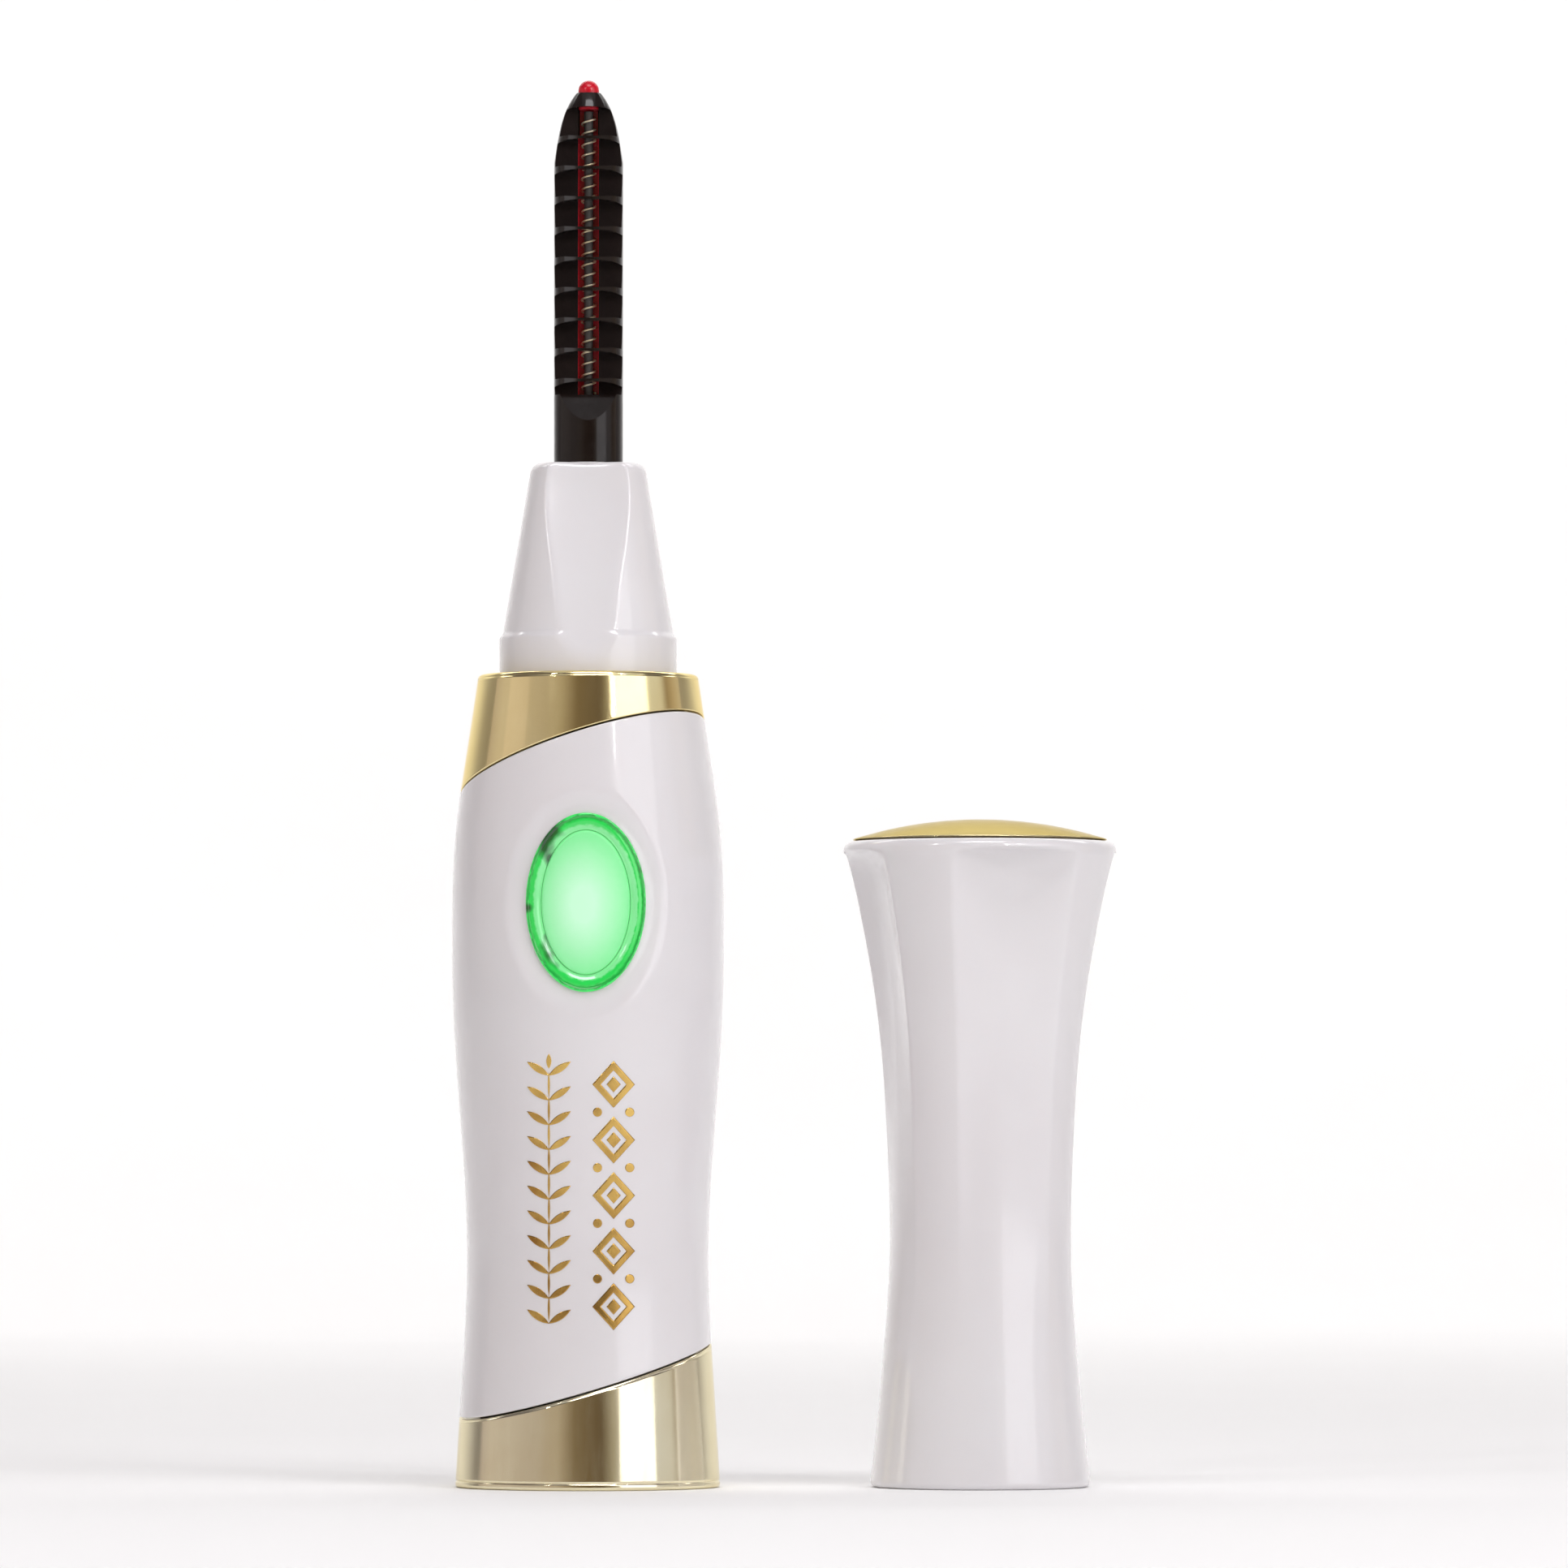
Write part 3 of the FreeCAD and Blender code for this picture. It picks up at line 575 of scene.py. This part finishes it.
def neck():
    """The white nose cone with its band and a tongue-shaped scoop in front and behind."""
    angles = turn(480)
    foot = COLLAR_TOP - NECK_SUNK
    rows = [round_row(angles, NECK_R - NECK_STEP_IN, foot)]
    for z in np.arange(foot, NECK_TOP - NECK_ROUND, 0.09):
        rows.append(round_row(angles, with_scoops(angles, neck_side(z), z), z))
    steps = 14
    start = NECK_TOP - NECK_ROUND
    for i in range(1, steps + 1):
        a = math.pi / 2 * i / steps
        z = start + NECK_ROUND * math.sin(a)
        full = with_scoops(angles, neck_side(z), z)
        rows.append(round_row(angles, full - NECK_ROUND * NECK_TOP_INSET * (1 - math.cos(a)), z))
    for r, z in NECK_INSIDE:
        rows.append(round_row(angles, r, z))
    return rings_piece("neck", rows, "loop", "handle", "white_gloss", WHITE, replaced=["neck_cone"])


# ---- foil ornament ----

FOIL_LIFT = 0.03
SPRIG_X = -3.2
LATTICE_X = 2.45
ORNAMENT_Z = (13.6, 37.8)
# Foil edges are turned down into the plastic by this much
FOIL_SUNK = -0.02
FOIL_RINGS = 5
SPRIG_PAIRS = 11
LEAF = (2.3, 0.6)
LEAF_LEAN = 58
LEAF_OUT = 0.95
DIAMONDS = 5
DIAMOND_PITCH = 4.84
DIAMOND_HALF = (1.85, 2.05)
DIAMOND_HOLE = 0.6
INNER_DIAMOND_HALF = (0.62, 0.7)
DOT_OUT = 1.4
DOT_R = 0.4


def lens(x, z, length, width, degrees):
    """A leaf outline with two points, centred at x, z and leaning by degrees."""
    lean = math.radians(degrees)
    along, across = (math.sin(lean), math.cos(lean)), (math.cos(lean), -math.sin(lean))
    points = []
    for i in range(24):
        a = 2 * math.pi * i / 24
        u, v = length / 2 * math.cos(a), width / 2 * math.sin(a) * abs(math.sin(a))
        points.append((x + along[0] * u + across[0] * v, z + along[1] * u + across[1] * v))
    return points


def diamond(x, z, half_x, half_z, steps=6):
    corners = [(x, z + half_z), (x + half_x, z), (x, z - half_z), (x - half_x, z)]
    points = []
    for (x0, z0), (x1, z1) in zip(corners, corners[1:] + corners[:1]):
        points += [(x0 + (x1 - x0) * i / steps, z0 + (z1 - z0) * i / steps) for i in range(steps)]
    return points


def dot(x, z, radius):
    return [(x + radius * math.sin(a), z + radius * math.cos(a)) for a in turn(20)]


def ornament_outlines():
    """(outline, hole size) of every foil shape: a leafy sprig beside a column of open diamonds, with
    pairs of dots between them."""
    low, high = ORNAMENT_Z
    shapes = []
    for i in range(SPRIG_PAIRS):
        z = low + 1.2 + (high - low - 2.6) * i / (SPRIG_PAIRS - 1)
        for side in (-1, 1):
            shapes.append((lens(SPRIG_X + side * LEAF_OUT, z + 0.35, *LEAF, side * LEAF_LEAN), 0))
        if i < SPRIG_PAIRS - 1:
            shapes.append((lens(SPRIG_X, z + 1.1, 2.3, 0.2, 0), 0))
    shapes.append((lens(SPRIG_X, high - 0.4, 1.3, 0.45, 0), 0))
    for i in range(DIAMONDS):
        z = low + DIAMOND_PITCH * (i + 0.5)
        shapes.append((diamond(LATTICE_X, z, *DIAMOND_HALF), DIAMOND_HOLE))
        shapes.append((diamond(LATTICE_X, z, *INNER_DIAMOND_HALF), 0))
        if i < DIAMONDS - 1:
            for side in (-1, 1):
                shapes.append((dot(LATTICE_X + side * DOT_OUT, z + DIAMOND_PITCH / 2, DOT_R), 0))
    return shapes


def on_barrel(x, z, lift):
    """The point on the barrel's front at x, z, raised by lift."""
    reach = handle_radius(np.array(z)) + lift
    return (x, -math.sqrt(reach ** 2 - x ** 2), z)


def ornament():
    """Thin foil shapes pressed onto the front of the barrel."""
    vertices, faces = [], []
    for outline, hole in ornament_outlines():
        middle = np.mean(outline, axis=0)
        count = len(outline)
        first = len(vertices)
        shares = [hole + (1 - hole) * i / FOIL_RINGS for i in range(0 if hole else 1, FOIL_RINGS + 1)]
        levels = [(share, FOIL_LIFT) for share in shares] + [(1, FOIL_SUNK)]
        if hole:
            levels = [(hole, FOIL_SUNK)] + levels
        for share, lift in levels:
            for x, z in outline:
                x, z = middle + (np.array((x, z)) - middle) * share
                vertices.append(on_barrel(x, z, lift))
        for i in range(len(levels) - 1):
            faces += quads(first + i * count, first + (i + 1) * count, count)
        if not hole:
            vertices.append(on_barrel(*middle, FOIL_LIFT))
            faces += [(len(vertices) - 1, first + (i + 1) % count, first + i) for i in range(count)]
    return new_piece("foil_ornament", vertices, faces, "handle", "gold_trim", FOIL)


# ---- button ----

def oval_row(angles, half, height):
    """A ring of points on an oval around the button, height above the handle's own surface."""
    row = np.zeros((len(angles), 3))
    row[:, 0] = half[0] * np.sin(angles)
    row[:, 2] = BUTTON_Z + half[1] * np.cos(angles)
    reach = handle_radius(row[:, 2]) + height
    row[:, 1] = -np.sqrt(reach ** 2 - row[:, 0] ** 2)
    return row


# (share of the way from the ring's outer edge to its inner edge, height above the handle)
RING_SECTION = [
    (0.0, -2.0), (0.0, -0.35), (0.015, -0.24), (0.06, -0.18), (0.12, -0.17), (0.17, -0.2), (0.2, -0.27),
    (0.24, -0.32), (0.3, -0.33), (0.38, -0.31), (0.5, -0.33), (0.65, -0.4), (0.78, -0.5), (0.86, -0.6),
    (0.92, -0.64), (0.97, -0.64), (1.0, -0.7), (1.0, -2.0),
]


# The gap around the pad, and how far the ring stands in from its CAD outline
PAD_GAP = 0.05
RING_INSET = 0.02


def ring():
    """The clear lit ring around the button: a thin rim outside and a hollow slope inside."""
    angles = turn(256)
    inner = (PAD_HALF[0] + PAD_GAP, PAD_HALF[1] + PAD_GAP)
    rows = []
    for share, height in RING_SECTION:
        half = [outer + (near - outer) * share for outer, near in zip(RING_HALF - RING_INSET, inner)]
        rows.append(oval_row(angles, half, height))
    return rings_piece(
        "light_ring", rows[::-1], "loop", "handle", "clear_green", RING_GLOW, replaced=["button_ring"],
    )


# Heights above the handle's own surface. The skirt stops short of the well's floor when it is pressed.
PAD_TOP = -0.52
PAD_CROWN = 0.1
PAD_EDGE = 0.2
PAD_SKIRT = -1.2


def pad():
    """The frosted pad that is pressed: nearly flat with a rounded edge."""
    angles = turn(256)
    rows = []
    for share in np.linspace(0.02, 0.95, 30):
        half = (PAD_HALF[0] * share, PAD_HALF[1] * share)
        rows.append(oval_row(angles, half, PAD_TOP + PAD_CROWN * (1 - share ** 2)))
    for i in range(1, 7):
        a = math.pi / 2 * i / 6
        inset = PAD_EDGE * (1 - math.sin(a))
        half = (PAD_HALF[0] - inset, PAD_HALF[1] - inset)
        rows.append(oval_row(angles, half, PAD_TOP - PAD_EDGE * (1 - math.cos(a))))
    rows.append(oval_row(angles, PAD_HALF, PAD_SKIRT))
    return rings_piece(
        "pad", rows[::-1], "ends", "button", "frosted_green", PAD_GLOW, replaced=["button_pad"],
    )


# ---- cap ----

# The share of the radius that a flute takes away, and its half width in degrees, at each height
cap_flute_share = smooth_through([
    (0.0, 0.0), (9.0, 0.0), (12.0, 0.006), (16.0, 0.02), (20.0, 0.042), (28.0, 0.082),
    (38.0, 0.138), (46.0, 0.172), (52.0, 0.186), (57.0, 0.186),
])
cap_flute_half = smooth_through([
    (0.0, 20.0), (10.0, 24.0), (16.0, 28.5), (25.0, 29.8), (43.0, 29.5), (53.0, 29.0), (57.0, 28.5),
])
FLUTE_FLATNESS = 2.3
FLUTE_EDGE = 0.13
# A flute ends this far under the rim, lower at its sides, and is full depth this far down
FLUTE_END = 0.05
FLUTE_END_CURVE = 0.3
FLUTE_END_REACH = 2.6
RIM_Z = 56.1
RIM_ROUND = 0.8
CAP_MOUTH_EDGE = 0.6
CAP_MOUTH_R = 8.66
# (radius, height) down the inside of the cap, from the seat under the dome to the mouth
CAP_INSIDE = [(6.0, 54.2), (6.45, 54.0), (6.45, 17.1), (8.62, 4.1)]


def cap_hollow(angles, z):
    """The share of the radius that the four flutes take away."""
    cut = np.zeros(len(angles))
    half = math.radians(float(cap_flute_half(np.array(z))))
    for quarter in range(4):
        off = (angles - CAP_FLUTE_FIRST - quarter * math.pi / 2 + math.pi) % (2 * math.pi) - math.pi
        u = np.abs(off / half)
        hollow = -soft_min(np.zeros(len(angles)), u ** FLUTE_FLATNESS - 1, FLUTE_EDGE)
        end = RIM_Z - FLUTE_END - FLUTE_END_CURVE * u * u
        below = np.clip((end - z) / FLUTE_END_REACH, 0, 1)
        scoop = np.sqrt(1 - (1 - below) ** 2)
        cut = np.maximum(cut, hollow * scoop)
    return np.clip(cap_flute_share(np.array(z)), 0, 1) * cut


def cap():
    """The cap's shell: waisted, with four wide hollow flutes under a round rim."""
    angles = turn(480)
    rows = [round_row(angles, CAP_MOUTH_R, 0.25, CAP_X)]
    for inset, rise in arc_steps(CAP_MOUTH_EDGE, 7):
        z = np.array(rise)
        rows.append(round_row(angles, cap_crest(z) - inset, rise, CAP_X))
    for z in np.linspace(CAP_MOUTH_EDGE, RIM_Z, 260)[1:]:
        radius = cap_crest(np.array(z)) * (1 - cap_hollow(angles, z))
        rows.append(round_row(angles, radius, z, CAP_X))
    full = float(cap_crest(np.array(RIM_Z)))
    for i in range(1, 11):
        a = math.pi / 2 * i / 10
        height = RIM_Z + (CAP_RIM_TOP - RIM_Z) * math.sin(a)
        rows.append(round_row(angles, full - RIM_ROUND * (1 - math.cos(a)), height, CAP_X))
    seat = [(DOME_R + 0.06, 0.04), (DOME_R + 0.05, 0.5), (CAP_INSIDE[0][0], 0.6)]
    for r, z in [(r, CAP_RIM_TOP - depth) for r, depth in seat] + CAP_INSIDE:
        rows.append(round_row(angles, r, z, CAP_X))
    return rings_piece("cap", rows, "loop", "cap", "white_gloss", WHITE, replaced=["cap_shell"])


DOME_LIP = 0.12
DOME_FOOT_RISE = 0.2
# How much higher the dome stands than its CAD node
DOME_EXTRA = 0.35


def dome():
    """The shallow gold dome on the cap's top, with a fine shadow gap under its lip."""
    angles = turn(256)
    edge_r = DOME_R + DOME_LIP
    foot_r = DOME_R - DOME_LIP
    base_z = CAP_RIM_TOP + DOME_FOOT_RISE
    top_z = DOME_TOP + DOME_EXTRA
    rise = top_z - base_z
    ball_r = (edge_r ** 2 + rise ** 2) / (2 * rise)
    rows = []
    for r, z in ((foot_r, CAP_RIM_TOP - 0.4), (foot_r, base_z - 0.12), (edge_r - 0.04, base_z - 0.07)):
        rows.append(round_row(angles, r, z, CAP_X))
    for share in np.linspace(0.999, 0.01, 48):
        r = edge_r * share
        z = top_z - ball_r + math.sqrt(ball_r ** 2 - r ** 2)
        rows.append(round_row(angles, r, z, CAP_X))
    return rings_piece("dome", rows, "ends", "cap", "gold_trim", DOME_GOLD, replaced=["cap_dome"])


barrel()
collar()
base()
neck()
ornament()
ring()
pad()
cap()
dome()

CAD_MATERIALS = {
    "base_insert": WHITE_INNER, "negative_contact": STEEL, "negative_spring": STEEL, "cell_can": STEEL,
    "cell_wrap": WRAP, "inner_frame": WHITE_INNER, "positive_contact": BRASS, "negative_strip": BRASS,
    "circuit_board": BOARD, "board_screws": STEEL, "switch_body": BLACK, "green_leds": PAD_GLOW,
    "controller_chip": BLACK, "board_resistors": BLACK, "comb_sleeve": COMB_BLACK, "heater_carrier": RED,
    "heater_core": CORE, "heater_wire": COIL, "heater_leads": LEAD, "switch_plunger": BLACK,
    "cap_liner": WHITE_INNER,
}
for name, material in CAD_MATERIALS.items():
    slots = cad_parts[name].material_slots
    for material_slot in slots:
        material_slot.material = material


# ---- floor, light and camera ----

FLOOR_HALF = 4000.0
FLOOR_FRONT = -4000.0
FLOOR_BACK = 1500.0
BACKDROP_BEND = 600.0
BACKDROP_HEIGHT = 2500.0
BEND_STEPS = 24


def floor():
    """A plain pale floor that curves up into a backdrop, far enough behind to look from there too."""
    material, shader = new_material("pale_floor")
    tint = ramp(material, noise(material, 6, 3), [(0.3, 0.95), (0.7, 0.97)])
    link(material, tint, shader.inputs["Base Color"])
    shader.inputs["Roughness"].default_value = 0.7
    bend_y = FLOOR_BACK - BACKDROP_BEND
    path = [(FLOOR_FRONT, 0.0), (bend_y, 0.0)]
    for i in range(1, BEND_STEPS + 1):
        a = math.pi / 2 * i / BEND_STEPS
        path.append((bend_y + BACKDROP_BEND * math.sin(a), BACKDROP_BEND * (1 - math.cos(a))))
    path.append((FLOOR_BACK, BACKDROP_HEIGHT))
    vertices = [(x, y, z) for y, z in path for x in (-FLOOR_HALF, FLOOR_HALF)]
    faces = [(2 * i, 2 * i + 1, 2 * i + 3, 2 * i + 2) for i in range(len(path) - 1)]
    mesh = bpy.data.meshes.new("floor")
    mesh.from_pydata([tuple(np.array(v) * MM) for v in vertices], [], faces)
    mesh.polygons.foreach_set("use_smooth", [True] * len(mesh.polygons))
    mesh.materials.append(material)
    obj = bpy.data.objects.new("floor", mesh)
    bpy.context.scene.collection.objects.link(obj)


def soft_light(name, place, aim, size, power, colour=(1, 1, 1)):
    """A rectangular soft light at place, facing aim, in millimetres, that no camera sees."""
    data = bpy.data.lights.new(name, "AREA")
    data.shape = "RECTANGLE"
    data.size, data.size_y = size[0] * MM, size[1] * MM
    data.energy = power
    data.color = colour
    obj = bpy.data.objects.new(name, data)
    obj.visible_camera = False
    obj.location = Vector(place) * MM
    obj.rotation_euler = (Vector(aim) - Vector(place)).to_track_quat("-Z", "Y").to_euler()
    bpy.context.scene.collection.objects.link(obj)


# (compass angle in degrees from the front towards +X, colour) of the room around the object
ROOM = [
    (-180, (0.95, 0.90, 0.86)), (-112, (0.64, 0.55, 0.54)), (-96, (0.78, 0.69, 0.64)),
    (-46, (0.66, 0.58, 0.53)), (-26, (0.62, 0.53, 0.43)), (-10, (0.26, 0.19, 0.11)),
    (14, (0.16, 0.11, 0.06)), (24, (0.50, 0.44, 0.34)), (36, (0.90, 0.88, 0.88)),
    (66, (0.90, 0.88, 0.90)), (82, (0.86, 0.82, 0.80)), (90, (0.40, 0.31, 0.22)),
    (100, (0.62, 0.50, 0.38)), (122, (0.85, 0.80, 0.76)), (180, (0.95, 0.90, 0.86)),
]
# The room fades into the colour overhead between these heights of the view direction, 1 straight up
ROOM_FADE = (0.30, 0.44)
ZENITH = (0.20, 0.18, 0.19)
ROOM_STRENGTH = 0.75


def room_light(world):
    """Uneven studio surroundings: pale behind, darker by the camera, bright on the right."""
    tree = world.node_tree
    place = tree.nodes.new("ShaderNodeTexCoord")
    parts = tree.nodes.new("ShaderNodeSeparateXYZ")
    back = tree.nodes.new("ShaderNodeMath")
    back.operation = "MULTIPLY"
    back.inputs[1].default_value = -1
    angle = tree.nodes.new("ShaderNodeMath")
    angle.operation = "ARCTAN2"
    share = tree.nodes.new("ShaderNodeMapRange")
    share.inputs["From Min"].default_value = -math.pi
    share.inputs["From Max"].default_value = math.pi
    colours = tree.nodes.new("ShaderNodeValToRGB")
    elements = colours.color_ramp.elements
    while len(elements) < len(ROOM):
        elements.new(0.5)
    for element, (degrees, colour) in zip(elements, ROOM):
        element.position = (degrees + 180) / 360
        element.color = (*colour, 1)
    height = tree.nodes.new("ShaderNodeMapRange")
    height.inputs["From Min"].default_value, height.inputs["From Max"].default_value = ROOM_FADE
    mix = tree.nodes.new("ShaderNodeMix")
    mix.data_type = "RGBA"
    mix.inputs["B"].default_value = (*ZENITH, 1)
    background = tree.nodes["Background"]
    background.inputs["Strength"].default_value = ROOM_STRENGTH
    links = tree.links
    links.new(place.outputs["Generated"], parts.inputs["Vector"])
    links.new(parts.outputs["Y"], back.inputs[0])
    links.new(parts.outputs["X"], angle.inputs[0])
    links.new(back.outputs[0], angle.inputs[1])
    links.new(angle.outputs[0], share.inputs["Value"])
    links.new(share.outputs["Result"], colours.inputs["Fac"])
    links.new(parts.outputs["Z"], height.inputs["Value"])
    links.new(height.outputs["Result"], mix.inputs["Factor"])
    links.new(colours.outputs["Color"], mix.inputs["A"])
    links.new(mix.outputs["Result"], background.inputs["Color"])


MIDDLE = (15, 0, 60)
# A daylight white, and a pink one for the left
COOL = (0.985, 0.975, 1.0)
PINK = (1.0, 0.80, 0.80)


def around(degrees, rise, distance):
    """A point around the object's middle, at a compass angle and a rise in degrees."""
    x, y, z = MIDDLE
    flat = distance * math.cos(math.radians(rise))
    a = math.radians(degrees)
    return (x + flat * math.sin(a), y - flat * math.cos(a), z + distance * math.sin(math.radians(rise)))


def studio():
    world = bpy.data.worlds.new("studio")
    world.use_nodes = True
    room_light(world)
    bpy.context.scene.world = world
    bpy.context.scene.view_settings.view_transform = "Standard"
    soft_light("key", around(46, 20, 1240), MIDDLE, (800, 880), 2.8, COOL)
    soft_light("spot", around(25, 29, 600), MIDDLE, (9, 190), 0.24)
    soft_light("right_edge", around(38, 31, 600), MIDDLE, (8, 90), 0.26)
    soft_light("left_edge", around(-40, 31, 600), MIDDLE, (8, 90), 0.26)
    soft_light("front", around(4, 62, 700), MIDDLE, (360, 200), 1.6, COOL)
    soft_light("fill", around(-76, 14, 620), MIDDLE, (260, 260), 0.02, PINK)
    soft_light("top", (15, 60, 1800), (15, 60, 0), (1800, 1800), 3.9)
    soft_light("back", (15, 900, 1200), (15, 1414, 130), (2600, 430), 12.5)


CAMERA_PLACE = (17.3, -896.0, 28.0)
CAMERA_AIM = (17.3, 0.0, 62.0)
LENS = 233.0


def camera():
    data = bpy.data.cameras.new("camera")
    data.lens = LENS
    data.sensor_width = 36.0
    data.clip_start = 0.01
    obj = bpy.data.objects.new("camera", data)
    obj.location = Vector(CAMERA_PLACE) * MM
    obj.rotation_euler = (Vector(CAMERA_AIM) - Vector(CAMERA_PLACE)).to_track_quat("-Z", "Y").to_euler()
    bpy.context.scene.collection.objects.link(obj)
    bpy.context.scene.camera = obj


floor()
studio()
camera()
